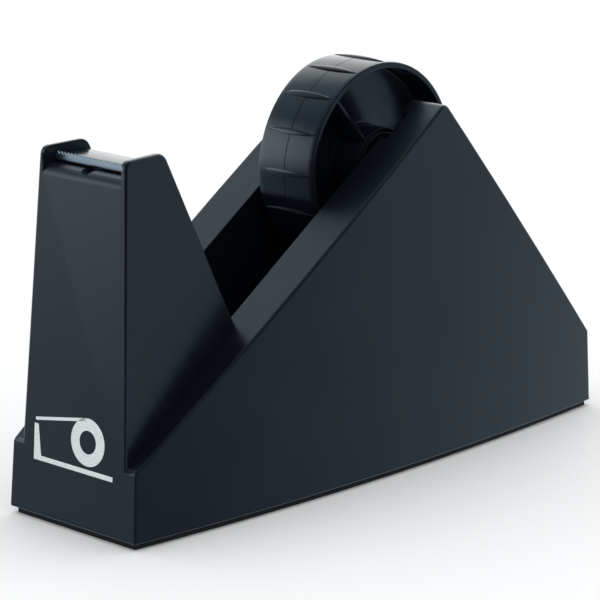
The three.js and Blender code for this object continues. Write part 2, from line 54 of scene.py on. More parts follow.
CAMERA_PLACE = Vector((-751.5, -707.0, 318.1)) * MM
CAMERA_AIM = Vector((-17.5, -7.6, 62.8)) * MM
CAMERA_LENS = 177.6
FLOOR_SIZE = 12.0
FLOOR_DROP = 0.05 * MM
PAPER_GRAIN = 0.8 * MM
SENSOR_WIDTH = 36.0
NEAREST_SEEN = 0.05
AWAY_FROM_CAMERA = (0.766, 0.643, 0.0)
WALL_BRIGHTNESS = 2.0
WALL_SHADES = [                  # how far round from the camera's side, and the shade there
    (0.00, "#0f1418"),
    (0.44, "#4b5964"),
    (0.475, "#586876"),
    (0.545, "#687c8b"),
    (0.585, "#768997"),
    (0.68, "#8397a3"),
    (0.75, "#889ca7"),
    (0.85, "#e6edf0"),
    (1.00, "#fbffff"),
]
SIDE_BOX_TOWARDS = (-0.600, 0.780, 0.170)
SIDE_BOX_EDGE = 23.0             # degrees from its middle to its soft rim
SIDE_BOX_SHADE = "#e8f2f8"
OVERHEAD_SIZE = 1.6
OVERHEAD_PLACE = (0.25, 0.25, 1.7)
OVERHEAD_POWER = 6.0


def linear(hex_colour):
    """An sRGB hex colour as linear red, green, blue and a full alpha."""
    shares = [int(hex_colour[i:i + 2], 16) / 255 for i in (1, 3, 5)]
    return [s / 12.92 if s <= 0.04045 else ((s + 0.055) / 1.055) ** 2.4 for s in shares] + [1.0]


def add_node(tree, kind, values=None, links=None, **settings):
    """Adds a node with its settings, its input values and the sockets that feed its inputs."""
    made = tree.nodes.new(kind)
    for name, setting in settings.items():
        setattr(made, name, setting)
    for name, value in (values or {}).items():
        made.inputs[name].default_value = value
    for name, source in (links or {}).items():
        tree.links.new(source, made.inputs[name])
    return made


def set_ramp(ramp, stops):
    """Gives a colour ramp its stops, as pairs of place and sRGB hex colour."""
    while len(ramp.elements) < len(stops):
        ramp.elements.new(1.0)
    for element, (place, colour) in zip(ramp.elements, stops):
        element.position = place
        element.color = linear(colour)


def start_material(name):
    """An empty node material: the material, its tree and its Principled shader."""
    made = bpy.data.materials.new(name)
    made.use_nodes = True
    tree = made.node_tree
    tree.nodes.clear()
    shader = add_node(tree, "ShaderNodeBsdfPrincipled")
    add_node(tree, "ShaderNodeOutputMaterial", links={"Surface": shader.outputs["BSDF"]})
    return made, tree, shader


def add_object(name, mesh):
    made = bpy.data.objects.new(name, mesh)
    bpy.context.scene.collection.objects.link(made)
    return made


def mesh_from(bm, name, materials, smooth=True):
    """Turns a bmesh into a named mesh with its materials and frees the bmesh."""
    bmesh.ops.recalc_face_normals(bm, faces=bm.faces)
    for face in bm.faces:
        face.smooth = smooth
    mesh = bpy.data.meshes.new(name)
    bm.to_mesh(mesh)
    bm.free()
    for material in materials:
        mesh.materials.append(material)
    stored_normals = mesh.attributes.get("custom_normal")
    if stored_normals:
        mesh.attributes.remove(stored_normals)
    return mesh


def white_paper():
    """Matt coated paper: even white, with a grain too faint to cast a shadow."""
    made, tree, shader = start_material("white_paper_matt")
    place = add_node(tree, "ShaderNodeTexCoord")
    grain = add_node(tree, "ShaderNodeTexNoise", {"Scale": 1 / PAPER_GRAIN, "Detail": 2.0},
                     {"Vector": place.outputs["Object"]})
    shades = add_node(tree, "ShaderNodeValToRGB", links={"Fac": grain.outputs["Fac"]})
    set_ramp(shades.color_ramp, [(0.3, "#f3f4f5"), (0.7, "#f8f9fa")])
    tree.links.new(shades.outputs["Color"], shader.inputs["Base Color"])
    shader.inputs["Roughness"].default_value = 0.9
    return made


camera = bpy.data.objects.new("camera", bpy.data.cameras.new("camera"))
bpy.context.scene.collection.objects.link(camera)
camera.data.lens = CAMERA_LENS
camera.data.sensor_width = SENSOR_WIDTH
camera.data.clip_start = NEAREST_SEEN
camera.location = CAMERA_PLACE
camera.rotation_mode = "QUATERNION"
camera.rotation_quaternion = (CAMERA_AIM - CAMERA_PLACE).to_track_quat("-Z", "Y")
bpy.context.scene.camera = camera
bpy.context.scene.view_settings.view_transform = "Standard"

floor_bm = bmesh.new()
bmesh.ops.create_grid(floor_bm, x_segments=2, y_segments=2, size=FLOOR_SIZE / 2)
floor = add_object("floor", mesh_from(floor_bm, "floor", [white_paper()]))
floor.location.z = -FLOOR_DROP
floor.visible_glossy = False

overhead = bpy.data.objects.new("overhead_box", bpy.data.lights.new("overhead_box", "AREA"))
bpy.context.scene.collection.objects.link(overhead)
overhead.data.size = OVERHEAD_SIZE
overhead.data.energy = OVERHEAD_POWER
overhead.location = OVERHEAD_PLACE
overhead.rotation_mode = "QUATERNION"
overhead.rotation_quaternion = (-Vector(OVERHEAD_PLACE)).to_track_quat("-Z", "Y")
overhead.visible_glossy = False

world = bpy.data.worlds.new("studio")
bpy.context.scene.world = world
world.use_nodes = True
room = world.node_tree
room.nodes.clear()
looking = add_node(room, "ShaderNodeTexCoord")
depth = add_node(room, "ShaderNodeVectorMath", {1: AWAY_FROM_CAMERA},
                 {0: looking.outputs["Generated"]}, operation="DOT_PRODUCT")
depth_share = add_node(room, "ShaderNodeMapRange", {"From Min": -1.0},
                       {"Value": depth.outputs["Value"]})
walls = add_node(room, "ShaderNodeValToRGB", links={"Fac": depth_share.outputs["Result"]})
set_ramp(walls.color_ramp, WALL_SHADES)
to_box = add_node(room, "ShaderNodeVectorMath", {1: Vector(SIDE_BOX_TOWARDS).normalized()},
                  {0: looking.outputs["Generated"]}, operation="DOT_PRODUCT")
box_rim = math.cos(math.radians(SIDE_BOX_EDGE))
box_share = add_node(room, "ShaderNodeMapRange", {"From Min": box_rim},
                     {"Value": to_box.outputs["Value"]}, interpolation_type="SMOOTHSTEP")
with_box = add_node(room, "ShaderNodeMixRGB", {"Color2": linear(SIDE_BOX_SHADE)},
                    {"Fac": box_share.outputs["Result"], "Color1": walls.outputs["Color"]},
                    blend_type="ADD")
mirrored = add_node(room, "ShaderNodeBackground", {"Strength": WALL_BRIGHTNESS},
                    {"Color": with_box.outputs["Color"]})
seen = add_node(room, "ShaderNodeBackground", {"Color": linear("#ffffff")})
ray = add_node(room, "ShaderNodeLightPath")
backdrop = add_node(room, "ShaderNodeMixShader", links={0: ray.outputs["Is Glossy Ray"],
                                                        1: seen.outputs["Background"],
                                                        2: mirrored.outputs["Background"]})
add_node(room, "ShaderNodeOutputWorld", links={"Surface": backdrop.outputs["Shader"]})


# ---- Housing -------------------------------------------------------------------------------------
# One injection moulding in black polystyrene: the wedge, the cutter post and the tape well. The
# mould's faces are lightly polished, and every outer edge is rounded so that it fills and releases.

BASE_CORNER_RADIUS = 2.0 * MM    # upright corners of the wedge
POST_CORNER_RADIUS = 1.0 * MM    # upright corners of the cutter post
POST_FOOT_Z = 25 * MM            # corners wholly above this height belong to the post
SLOPE_EDGE_RADIUS = 1.0 * MM     # long edges between the slopes and the sides
CHEEK_EDGE_RADIUS = 1.0 * MM     # outer edges round the top of the two cheeks beside the cutter
CUTTER_FROM_Z = 110 * MM         # the cheeks and the lip lie above this height
CUTTER_TO_X = -88 * MM           # and in front of this place
INNER_EDGE_RADIUS = 0.35 * MM    # edges of the well, the guide slots, the pocket and the rim
THIN_EDGE_RADIUS = 0.12 * MM     # the cheeks' inner upright edges
CORNER_SEGMENTS = 4
SHARP_ANGLE = math.radians(24)
FLAT_ANGLE = math.radians(0.3)   # faces that differ by less are one flat face
WELD_DISTANCE = 0.002 * MM
RAY_LIFT = 0.01 * MM
DOWNWARD = -0.5                  # upward share of a normal, below which a face looks down
UPRIGHT = 0.2                    # the same share, below which a face is a drafted wall
SIDEWAYS = 0.5                   # sideways share, above which a face is the outside of a cheek
POLYSTYRENE_BLACK = "#070c13"
POLYSTYRENE_GREY = "#0a1119"
CLOUD_SIZE = 35 * MM             # slow change of gloss, from the melt's flow
GRAIN_SIZE = 0.45 * MM           # the mould's texture is near 0.1 mm; drawn coarser, so it shows
GRAIN_DEPTH = 0.02 * MM


def merged_bmesh(node):
    """The node's own mesh with its vertices merged and each flat area joined into one face."""
    bm = bmesh.new()
    bm.from_mesh(cad[node].data)
    bmesh.ops.remove_doubles(bm, verts=bm.verts, dist=WELD_DISTANCE)
    bmesh.ops.dissolve_limit(bm, angle_limit=FLAT_ANGLE, use_dissolve_boundaries=False,
                             verts=bm.verts, edges=bm.edges)
    bm.normal_update()
    return bm


def open_faces(bm):
    """The faces that look out of the piece: nothing of it stands in front of them."""
    tree = BVHTree.FromBMesh(bm)
    found = set()
    for triangle in bm.calc_loop_triangles():
        face = triangle[0].face
        middle = sum((loop.vert.co for loop in triangle), Vector()) / 3
        start = middle + face.normal * RAY_LIFT
        if face.normal.z > DOWNWARD and tree.ray_cast(start, face.normal)[0] is None:
            found.add(face)
    return found


def housing_edge_radius(edge, outward):
    """How round one edge of the housing is: 0 for hidden, hollow and nearly flat edges.

    The cheeks are too thin to be rounded on both sides, so they are rounded on the outside only.
    """
    if len(edge.link_faces) != 2 or not edge.is_convex:
        return 0.0
    if edge.calc_face_angle() < SHARP_ANGLE:
        return 0.0
    normals = [face.normal for face in edge.link_faces]
    upright = all(abs(normal.z) < UPRIGHT for normal in normals)
    open_sides = sum(face in outward for face in edge.link_faces)
    if open_sides == 0:
        return 0.0
    if open_sides == 1:
        return THIN_EDGE_RADIUS if upright else INNER_EDGE_RADIUS
    if upright:
        on_post = min(vert.co.z for vert in edge.verts) > POST_FOOT_Z
        return POST_CORNER_RADIUS if on_post else BASE_CORNER_RADIUS
    middle = (edge.verts[0].co + edge.verts[1].co) / 2
    if middle.z > CUTTER_FROM_Z and middle.x < CUTTER_TO_X:
        sideways = any(normal.y * middle.y > SIDEWAYS * abs(middle.y) for normal in normals)
        return CHEEK_EDGE_RADIUS if sideways else 0.0
    return SLOPE_EDGE_RADIUS


def round_edges(piece, width, segments, limit="WEIGHT"):
    """Rounds the piece's edges with real faces; flat faces beside them stay flatly shaded."""
    bevel = piece.modifiers.new("rounded_edges", "BEVEL")
    bevel.width = width
    bevel.segments = segments
    bevel.limit_method = limit
    bevel.angle_limit = SHARP_ANGLE
    bevel.use_clamp_overlap = limit != "WEIGHT"
    bevel.miter_outer = "MITER_ARC"
    bevel.harden_normals = True


def moulded_polystyrene(name, roughness, cloud=0.03):
    """Black moulded polystyrene: dark blue-black with soft, slightly cloudy reflections.

    The melt's flow makes the gloss drift over centimetres, and the tool's fine grain breaks it up.
    """
    made, tree, shader = start_material(name)
    place = add_node(tree, "ShaderNodeTexCoord")
    clouds = add_node(tree, "ShaderNodeTexNoise", {"Scale": 1 / CLOUD_SIZE, "Detail": 2.0},
                      {"Vector": place.outputs["Object"]})
    shades = add_node(tree, "ShaderNodeValToRGB", links={"Fac": clouds.outputs["Fac"]})
    set_ramp(shades.color_ramp, [(0.35, POLYSTYRENE_BLACK), (0.7, POLYSTYRENE_GREY)])
    tree.links.new(shades.outputs["Color"], shader.inputs["Base Color"])
    gloss = add_node(tree, "ShaderNodeMapRange", {"From Min": 0.3, "From Max": 0.7,
                                                  "To Min": roughness - cloud,
                                                  "To Max": roughness + cloud},
                     {"Value": clouds.outputs["Fac"]})
    tree.links.new(gloss.outputs["Result"], shader.inputs["Roughness"])
    grain = add_node(tree, "ShaderNodeTexNoise", {"Scale": 1 / GRAIN_SIZE, "Detail": 2.0},
                     {"Vector": place.outputs["Object"]})
    relief = add_node(tree, "ShaderNodeBump", {"Strength": 0.12, "Distance": GRAIN_DEPTH},
                      {"Height": grain.outputs["Fac"]})
    tree.links.new(relief.outputs["Normal"], shader.inputs["Normal"])
    shader.inputs["IOR"].default_value = 1.5
    return made


housing_finish = moulded_polystyrene("polystyrene_moulded_satin", 0.3)
housing_bm = merged_bmesh("housing")
# A U-shaped face can tear when its edges are rounded, so it is split into plain ones first.
bmesh.ops.connect_verts_concave(housing_bm, faces=housing_bm.faces)
outward_faces = open_faces(housing_bm)
weight_layer = housing_bm.edges.layers.float.new("bevel_weight_edge")
for edge in housing_bm.edges:
    radius = housing_edge_radius(edge, outward_faces)
    edge[weight_layer] = radius / BASE_CORNER_RADIUS
    between_two = len(edge.link_faces) == 2
    if radius == 0.0 and between_two and edge.calc_face_angle() > SHARP_ANGLE:
        edge.smooth = False
housing = add_object("housing_shell", mesh_from(housing_bm, "housing_shell", [housing_finish]))
round_edges(housing, BASE_CORNER_RADIUS, CORNER_SEGMENTS)
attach(housing, "base")
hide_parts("housing")


# ---- Printed mark --------------------------------------------------------------------------------
# A plain pictogram of a dispenser, a roll over a base with a post, pad-printed in off-white on the
# foot of the front face. The ink lies on top of the plastic and has the pinholes of a thin print.

MARK_MIDDLE_Z = 31.0 * MM
MARK_HALF_WIDTH = 19.5 * MM
MARK_FOOT = -9.6 * MM
MARK_LINE = 1.7 * MM             # thickness of the drawn base
MARK_ROLL_PLACE = (7.0 * MM, 1.4 * MM)
MARK_ROLL_RADIUS = 8.2 * MM
MARK_CORE_RADIUS = 4.0 * MM
MARK_TAPE_ANGLE = 100            # where the drawn tape leaves the roll
MARK_TAPE_LENGTH = 25 * MM
MARK_TAPE_THICK = 1.1 * MM
MARK_POST_TOP = 3.0 * MM
MARK_POST_FOOT_WIDTH = 3.6 * MM
MARK_POST_TOP_WIDTH = 2.0 * MM
INK_LIFT = 0.06 * MM             # an ink film is thinner; this much keeps it clear of the face
INK_SPECKLE = 0.5 * MM
MARK_STEPS = 64
FRONT_FACING = -0.99             # share of a normal along x on the front face


def pad_print_ink():
    """Off-white pad-printing ink, satin, with pinholes where the film is thin."""
    made, tree, shader = start_material("pad_print_ink_off_white")
    place = add_node(tree, "ShaderNodeTexCoord")
    speckle = add_node(tree, "ShaderNodeTexNoise", {"Scale": 1 / INK_SPECKLE, "Detail": 3.0},
                       {"Vector": place.outputs["Object"]})
    shades = add_node(tree, "ShaderNodeValToRGB", links={"Fac": speckle.outputs["Fac"]})
    set_ramp(shades.color_ramp, [(0.3, "#a9b1b5"), (0.45, "#d3d8da"), (0.7, "#dfe3e4")])
    tree.links.new(shades.outputs["Color"], shader.inputs["Base Color"])
    shader.inputs["Roughness"].default_value = 0.5
    return made


def flat_face(bm, points):
    return bm.faces.new([bm.verts.new((point[0], point[1], 0.0)) for point in points])


def arc(radius, start, end, steps, centre=(0.0, 0.0)):
    """Points on an arc, its angles in degrees, both ends included."""
    turns = [math.radians(start + (end - start) * i / steps) for i in range(steps + 1)]
    return [(centre[0] + radius * math.cos(t), centre[1] + radius * math.sin(t)) for t in turns]


mark_bm = bmesh.new()
outer_arc = arc(MARK_ROLL_RADIUS, 0, 360, MARK_STEPS, MARK_ROLL_PLACE)[:-1]
inner_arc = arc(MARK_CORE_RADIUS, 0, 360, MARK_STEPS, MARK_ROLL_PLACE)[:-1]
outer_ring = [mark_bm.verts.new((x, y, 0.0)) for x, y in outer_arc]
inner_ring = [mark_bm.verts.new((x, y, 0.0)) for x, y in inner_arc]
for i in range(len(outer_ring)):
    mark_bm.faces.new([outer_ring[i - 1], outer_ring[i], inner_ring[i], inner_ring[i - 1]])
tape_turn = math.radians(MARK_TAPE_ANGLE)
outwards = Vector((math.cos(tape_turn), math.sin(tape_turn)))
along_tape = Vector((-outwards.y, outwards.x)) * MARK_TAPE_LENGTH
tape_start = Vector(MARK_ROLL_PLACE) + outwards * MARK_ROLL_RADIUS
tape_under = tape_start - outwards * MARK_TAPE_THICK
flat_face(mark_bm, [tape_under, tape_start, tape_start + along_tape, tape_under + along_tape])
bar_top = MARK_FOOT + MARK_LINE
mark_left = -MARK_HALF_WIDTH
flat_face(mark_bm, [(mark_left, MARK_FOOT), (MARK_HALF_WIDTH, MARK_FOOT),
                    (MARK_HALF_WIDTH, bar_top), (mark_left, bar_top)])
flat_face(mark_bm, [(mark_left, bar_top), (mark_left + MARK_POST_FOOT_WIDTH, bar_top),
                    (mark_left + MARK_POST_TOP_WIDTH, MARK_POST_TOP), (mark_left, MARK_POST_TOP)])
mark = add_object("printed_mark",
                  mesh_from(mark_bm, "printed_mark", [pad_print_ink()], smooth=False))
front_low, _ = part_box("housing")
front_faces = [face for face in cad["housing"].data.polygons
               if face.normal.x < FRONT_FACING and face.center.z > MARK_MIDDLE_Z]
front_normal = max(front_faces, key=lambda face: face.area).normal.copy()
across = Vector((0.0, -1.0, 0.0))
upwards = front_normal.cross(across)
lean = -front_normal.z / front_normal.x
mark_middle = Vector((front_low.x + lean * (MARK_MIDDLE_Z - front_low.z), 0.0, MARK_MIDDLE_Z))
mark.matrix_world = Matrix.Translation(mark_middle + front_normal * INK_LIFT) @ Matrix(
    (across, upwards, front_normal)).transposed().to_4x4()
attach(mark, "base")


# ---- Cutter --------------------------------------------------------------------------------------
# A serrated angle of nickel-plated spring steel, pressed into a slot of a black moulded block. Two
# screws from below hold the block between the post's cheeks; the tape's end lies on its glossy top.

TOOTH_COUNT = 22
TOOTH_HEIGHT = 1.0 * MM
BLADE_THICK = 0.5 * MM
BEND_RADIUS = 0.75 * MM          # inner bend of the angle, to the middle of the sheet
BLADE_COLUMNS = 2 * TOOTH_COUNT
BRUSH_WIDTH = 0.12 * MM          # brush lines are finer; drawn this wide, so that they show
BRUSH_LENGTH = 9 * MM
BRUSH_DEPTH = 0.01 * MM
GULLET_BAND = 0.2 * MM           # sheet between the gullets and the last straight row of corners
BLADE_EDGE_RADIUS = 0.06 * MM
CARRIER_EDGE_RADIUS = 0.25 * MM
STEEL_BRIGHT = "#ccd0d2"
STEEL_DULL = "#a9afb2"
SCREW_HEAD_RADIUS = 2.8 * MM
SCREW_HEAD_TALL = 1.5 * MM
SCREW_CROWN_SHARE = 0.35         # flat middle of the domed head, as a share of its radius
SCREW_RIM = 0.2 * MM
SCREW_SEGMENTS = 40
SCREW_SHANK_RADIUS = 1.4 * MM
THREAD_PITCH = 1.1 * MM
THREAD_DEPTH = 0.28 * MM
THREAD_RUNOUT = 0.4 * MM         # plain shank under the head
RECESS_SPAN = 1.55 * MM
RECESS_WIDTH = 0.62 * MM
RECESS_DEPTH = 1.0 * MM
RECESS_TAPER = 0.45
ZINC_BRIGHT = "#b9bdbe"
ZINC_CLOUDY = "#8d9294"
ZINC_PATCH = 1.6 * MM


def brushed_steel():
    """Nickel-plated spring steel: bright and nearly white, brushed along the cutter's length."""
    made, tree, shader = start_material("spring_steel_nickel_brushed")
    place = add_node(tree, "ShaderNodeTexCoord")
    along = add_node(tree, "ShaderNodeMapping",
                     {"Scale": (1 / BRUSH_WIDTH, 1 / BRUSH_LENGTH, 1 / BRUSH_WIDTH)},
                     {"Vector": place.outputs["Object"]})
    lines = add_node(tree, "ShaderNodeTexNoise", {"Scale": 1.0, "Detail": 4.0},
                     {"Vector": along.outputs["Vector"]})
    shades = add_node(tree, "ShaderNodeValToRGB", links={"Fac": lines.outputs["Fac"]})
    set_ramp(shades.color_ramp, [(0.3, STEEL_DULL), (0.6, STEEL_BRIGHT)])
    gloss = add_node(tree, "ShaderNodeMapRange", {"To Min": 0.22, "To Max": 0.4},
                     {"Value": lines.outputs["Fac"]})
    relief = add_node(tree, "ShaderNodeBump", {"Strength": 0.15, "Distance": BRUSH_DEPTH},
                      {"Height": lines.outputs["Fac"]})
    tree.links.new(shades.outputs["Color"], shader.inputs["Base Color"])
    tree.links.new(gloss.outputs["Result"], shader.inputs["Roughness"])
    tree.links.new(relief.outputs["Normal"], shader.inputs["Normal"])
    shader.inputs["Metallic"].default_value = 1.0
    return made


def zinc_plated_steel():
    """Steel with a thin bright zinc plating, which clouds into small duller patches."""
    made, tree, shader = start_material("steel_zinc_plated")
    place = add_node(tree, "ShaderNodeTexCoord")
    patches = add_node(tree, "ShaderNodeTexNoise", {"Scale": 1 / ZINC_PATCH, "Detail": 4.0},
                       {"Vector": place.outputs["Object"]})
    shades = add_node(tree, "ShaderNodeValToRGB", links={"Fac": patches.outputs["Fac"]})
    set_ramp(shades.color_ramp, [(0.35, ZINC_CLOUDY), (0.65, ZINC_BRIGHT)])
    gloss = add_node(tree, "ShaderNodeMapRange", {"To Min": 0.45, "To Max": 0.28},
                     {"Value": patches.outputs["Fac"]})
    tree.links.new(shades.outputs["Color"], shader.inputs["Base Color"])
    tree.links.new(gloss.outputs["Result"], shader.inputs["Roughness"])
    shader.inputs["Metallic"].default_value = 1.0
    return made


def turn_profile(bm, profile, segments):
    """Turns a profile of (radius, height) points about the z axis; points on the axis close it."""
    rings = []
    for radius, height in profile:
        if radius == 0.0:
            rings.append([bm.verts.new((0.0, 0.0, height))] * segments)
            continue
        turns = [2 * math.pi * i / segments for i in range(segments)]
        rings.append([bm.verts.new((radius * math.cos(turn), radius * math.sin(turn), height))
                      for turn in turns])
    pairs = zip(rings, rings[1:])
    if profile[0][0] != 0.0:
        pairs = zip(rings, rings[1:] + rings[:1])
    for low, high in pairs:
        for i in range(segments):
            corners = [low[i - 1], low[i], high[i], high[i - 1]]
            bm.faces.new(list(dict.fromkeys(corners)))


def pan_head_screw(name, shank_length):
    """A cross-recessed pan-head screw, its head down and the underside of its head at z = 0."""
    profile = [(0.0, -SCREW_HEAD_TALL)]
    for out_share, up_share in arc(1.0, 270, 360, 10):
        reach = SCREW_CROWN_SHARE + (1 - SCREW_CROWN_SHARE) * out_share
        profile.append((SCREW_HEAD_RADIUS * reach, SCREW_HEAD_TALL * 0.7 * up_share))
    profile.append((SCREW_HEAD_RADIUS, -SCREW_RIM))
    profile.append((SCREW_HEAD_RADIUS - SCREW_RIM, 0.0))
    profile.append((SCREW_SHANK_RADIUS, 0.0))
    tip_from = shank_length - 2 * SCREW_SHANK_RADIUS
    root = SCREW_SHANK_RADIUS - THREAD_DEPTH
    for i in range(int(tip_from / THREAD_PITCH)):
        start = THREAD_RUNOUT + THREAD_PITCH * i
        profile.append((root, start + 0.2 * THREAD_PITCH))
        profile.append((SCREW_SHANK_RADIUS, start + 0.5 * THREAD_PITCH))
        profile.append((root, start + 0.8 * THREAD_PITCH))
    profile.append((root, tip_from))
    profile.append((0.0, shank_length))
    bm = bmesh.new()
    turn_profile(bm, profile, SCREW_SEGMENTS)
    screw = add_object(name, mesh_from(bm, name, [zinc_finish]))
    cross_bm = bmesh.new()
    for size in ((RECESS_SPAN, RECESS_WIDTH / 2), (RECESS_WIDTH / 2, RECESS_SPAN)):
        arm = bmesh.ops.create_cube(cross_bm, size=2.0)["verts"]
        for vert in arm:
            share = RECESS_TAPER if vert.co.z > 0 else 1.0
            height = RECESS_DEPTH if vert.co.z > 0 else -RECESS_DEPTH
            vert.co = Vector((vert.co.x * size[0] * share, vert.co.y * size[1] * share,
                              height - SCREW_HEAD_TALL))
    cross = add_object(name + "_recess", mesh_from(cross_bm, name + "_recess", [], smooth=False))
    cut = screw.modifiers.new("cross_recess", "BOOLEAN")
    cut.operation = "DIFFERENCE"
    cut.object = cross
    cut.solver = "EXACT"
    cut.use_self = True
    evaluated = screw.evaluated_get(bpy.context.evaluated_depsgraph_get())
    finished = bpy.data.meshes.new_from_object(evaluated)
    screw.modifiers.clear()
    screw.data = finished
    screw.data.set_sharp_from_angle(angle=math.radians(35))
    bpy.data.objects.remove(cross)
    return screw


blade_low, blade_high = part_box("cutter_blade")
blade_middle_x = blade_low.x + BLADE_THICK / 2
foot_z = blade_low.z + BLADE_THICK / 2
bend = [(blade_middle_x + BEND_RADIUS + x, foot_z + BEND_RADIUS + z)
        for x, z in arc(BEND_RADIUS, 270, 180, 8)]
gullet_z = blade_high.z - TOOTH_HEIGHT
halfway_z = (foot_z + gullet_z + BEND_RADIUS) / 2
sheet_path = [(blade_high.x, foot_z)] + bend + [(blade_middle_x, halfway_z)]
blade_bm = bmesh.new()
columns = []
for i in range(BLADE_COLUMNS + 1):
    y = blade_low.y + (blade_high.y - blade_low.y) * i / BLADE_COLUMNS
    tip_z = blade_high.z if i % 2 else gullet_z
    column = [blade_bm.verts.new((x, y, z)) for x, z in sheet_path]
    column.append(blade_bm.verts.new((blade_middle_x, y, gullet_z - GULLET_BAND)))
    column.append(blade_bm.verts.new((blade_middle_x, y, tip_z)))
    columns.append(column)
for left, right in zip(columns, columns[1:]):
    for i in range(len(left) - 1):
        blade_bm.faces.new([left[i], right[i], right[i + 1], left[i + 1]])
blade = add_object("cutter_blade_serrated",
                   mesh_from(blade_bm, "cutter_blade_serrated", [brushed_steel()]))
blade.data.set_sharp_from_angle(angle=math.radians(40))
sheet = blade.modifiers.new("sheet_thickness", "SOLIDIFY")
sheet.thickness = BLADE_THICK
sheet.offset = 0.0
round_edges(blade, BLADE_EDGE_RADIUS, 2, "ANGLE")
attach(blade, "base")
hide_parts("cutter_blade")

carrier_finish = moulded_polystyrene("polystyrene_moulded_polished", 0.2, 0.04)
carrier_bm = merged_bmesh("cutter_carrier")
carrier = add_object("cutter_block", mesh_from(carrier_bm, "cutter_block", [carrier_finish]))
carrier.data.set_sharp_from_angle(angle=SHARP_ANGLE)
round_edges(carrier, CARRIER_EDGE_RADIUS, 2, "ANGLE")
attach(carrier, "base")
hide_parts("cutter_carrier")

zinc_finish = zinc_plated_steel()
for number in (1, 2):
    node = f"carrier_screw_{number}"
    low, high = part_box(node)
    screw = pan_head_screw(f"cutter_block_screw_{number}", high.z - low.z - SCREW_HEAD_TALL)
    screw.location = ((low.x + high.x) / 2, (low.y + high.y) / 2, low.z + SCREW_HEAD_TALL)
    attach(screw, "base")
    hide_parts(node)


# ---- Underside -----------------------------------------------------------------------------------
# A moulded plate closes the hollow housing and holds the ballast in. Four screws go up through it
# into the housing's bosses. A pad of black foam rubber under it keeps the dispenser from sliding.

FOAM_CELL = 0.6 * MM
FOAM_DEPTH = 0.12 * MM
PLATE_EDGE_RADIUS = 0.4 * MM
PAD_EDGE_RADIUS = 0.25 * MM
RUBBER_BLACK = "#0a0b0c"
RUBBER_GREY = "#17191a"


def foam_rubber():
    """Closed-cell foam rubber: matt black, pitted by small cut cells."""
    made, tree, shader = start_material("rubber_foam_black")
    place = add_node(tree, "ShaderNodeTexCoord")
    cells = add_node(tree, "ShaderNodeTexVoronoi", {"Scale": 1 / FOAM_CELL, "Randomness": 0.9},
                     {"Vector": place.outputs["Object"]})
    shades = add_node(tree, "ShaderNodeValToRGB", links={"Fac": cells.outputs["Distance"]})
    set_ramp(shades.color_ramp, [(0.1, RUBBER_BLACK), (0.6, RUBBER_GREY)])
    relief = add_node(tree, "ShaderNodeBump", {"Strength": 0.6, "Distance": FOAM_DEPTH},
                      {"Height": cells.outputs["Distance"]})
    tree.links.new(shades.outputs["Color"], shader.inputs["Base Color"])
    tree.links.new(relief.outputs["Normal"], shader.inputs["Normal"])
    shader.inputs["Roughness"].default_value = 0.85
    return made


def keep_node(node, material, edge, segments=2):
    """Keeps a CAD node as it is, with its own finish and rounded edges."""
    piece = cad[node]
    piece.data.materials.clear()
    piece.data.materials.append(material)
    piece.data.shade_smooth()
    weld = piece.modifiers.new("welded_corners", "WELD")
    weld.merge_threshold = WELD_DISTANCE
    flat = piece.modifiers.new("whole_faces", "DECIMATE")
    flat.decimate_type = "DISSOLVE"
    flat.angle_limit = FLAT_ANGLE
    round_edges(piece, edge, segments, "ANGLE")


keep_node("base_plate", housing_finish, PLATE_EDGE_RADIUS)
keep_node("antislip_pad", foam_rubber(), PAD_EDGE_RADIUS)
for number in range(1, 5):
    node = f"base_screw_{number}"
    low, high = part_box(node)
    screw = pan_head_screw(f"underside_screw_{number}", high.z - low.z - SCREW_HEAD_TALL)
    screw.location = ((low.x + high.x) / 2, (low.y + high.y) / 2, low.z + SCREW_HEAD_TALL)
    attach(screw, "base")
    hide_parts(node)


# ---- Ballast -------------------------------------------------------------------------------------
# Raw cast iron: a flat bar under the tape well and a plate in each hollow side, sawn to the wedge's
# slopes. They make the dispenser heavy enough to pull tape from with one hand.

SAND_SIZE = 1.1 * MM
SAND_DEPTH = 0.25 * MM
IRON_EDGE_RADIUS = 0.9 * MM
IRON_DARK = "#2c2d2d"
IRON_LIGHT = "#4b4844"
IRON_RUST = "#5a4436"


def raw_cast_iron():
    """Raw cast iron: dark grey, dull, with the sand mould's rough skin and a breath of rust."""
    made, tree, shader = start_material("iron_cast_raw")
    place = add_node(tree, "ShaderNodeTexCoord")
    sand = add_node(tree, "ShaderNodeTexNoise", {"Scale": 1 / SAND_SIZE, "Detail": 6.0},
                    {"Vector": place.outputs["Object"]})
    shades = add_node(tree, "ShaderNodeValToRGB", links={"Fac": sand.outputs["Fac"]})
    set_ramp(shades.color_ramp, [(0.3, IRON_DARK), (0.6, IRON_LIGHT), (0.75, IRON_RUST)])
    relief = add_node(tree, "ShaderNodeBump", {"Strength": 0.7, "Distance": SAND_DEPTH},
                      {"Height": sand.outputs["Fac"]})
    tree.links.new(shades.outputs["Color"], shader.inputs["Base Color"])
    tree.links.new(relief.outputs["Normal"], shader.inputs["Normal"])
    shader.inputs["Roughness"].default_value = 0.75
    shader.inputs["Metallic"].default_value = 0.6
    return made


iron_finish = raw_cast_iron()
for node in ("floor_weight", "side_weight_right", "side_weight_left"):
    keep_node(node, iron_finish, IRON_EDGE_RADIUS, 3)


# ---- Core ring -----------------------------------------------------------------------------------
# The hub's outer ring, in glossy black plastic for 76 mm cores: a web in its middle plane, three
# stiffening walls, and sixteen pointed ribs that grip the core. A fine flash line from the mould's
# two halves runs round it between the ribs.

